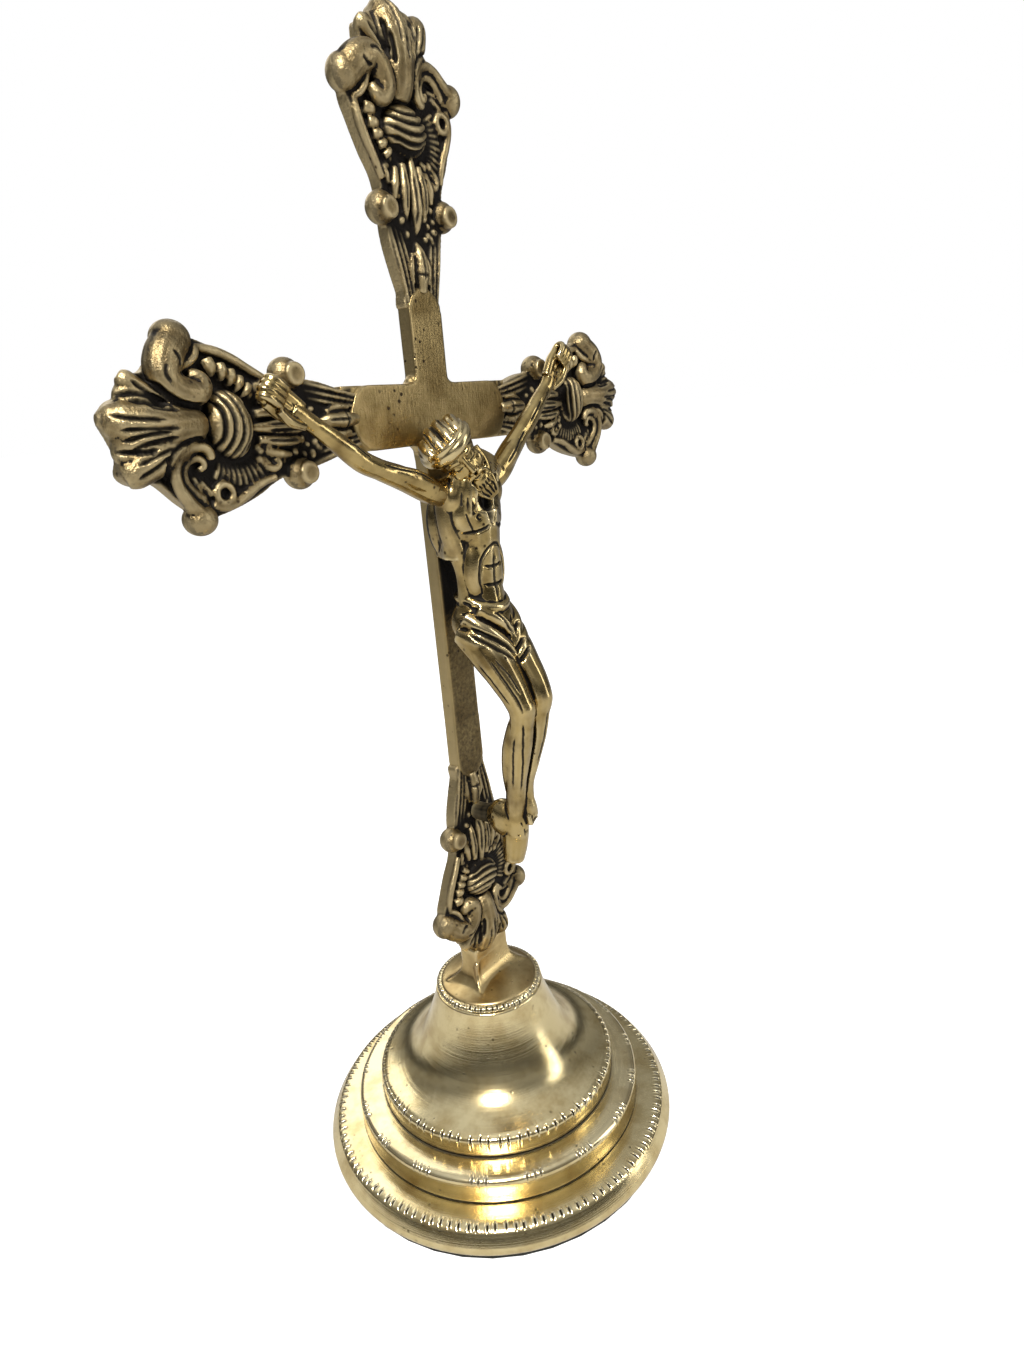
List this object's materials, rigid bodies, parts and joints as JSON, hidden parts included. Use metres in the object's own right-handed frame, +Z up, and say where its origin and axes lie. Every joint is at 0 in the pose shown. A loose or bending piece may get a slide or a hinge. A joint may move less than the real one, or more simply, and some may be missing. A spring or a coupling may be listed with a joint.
{
  "type": "altar cross",
  "caption": "Standing brass altar crucifix: scrolled acanthus terminals, a cast figure with raised arms, and a turned three-tier round base with notched edges",
  "frame": {"origin": "middle of the underside, on the surface the cross stands on", "axes": "+Z up along the stem, X along the horizontal arms of the cross, the figure faces -Y"},
  "size_m": [0.1714, 0.1092, 0.305],
  "materials": {
    "polished_brass": "polished cast brass with turning lines",
    "antique_brass": "antique cast brass, dark patina in the recesses, rubbed bright on the high points",
    "figure_brass": "satin cast brass with dark patina in the folds",
    "black_baize": "matt woven baize",
    "zinc_steel": "zinc-plated steel"
  },
  "bodies": {
    "root": {"base_felt": "black_baize", "plinth": "polished_brass", "middle_tier": "polished_brass", "bell": "polished_brass", "stem": "polished_brass", "cross": "antique_brass", "corpus_body": "figure_brass", "corpus_right_arm": "figure_brass", "corpus_left_arm": "figure_brass", "corpus_upper_screw": "zinc_steel", "corpus_foot_screw": "zinc_steel", "stem_screw_lower": "zinc_steel", "stem_screw_upper": "zinc_steel", "tie_rod": "zinc_steel", "rod_washer": "zinc_steel", "rod_nut": "zinc_steel"}
  },
  "joints": []
}
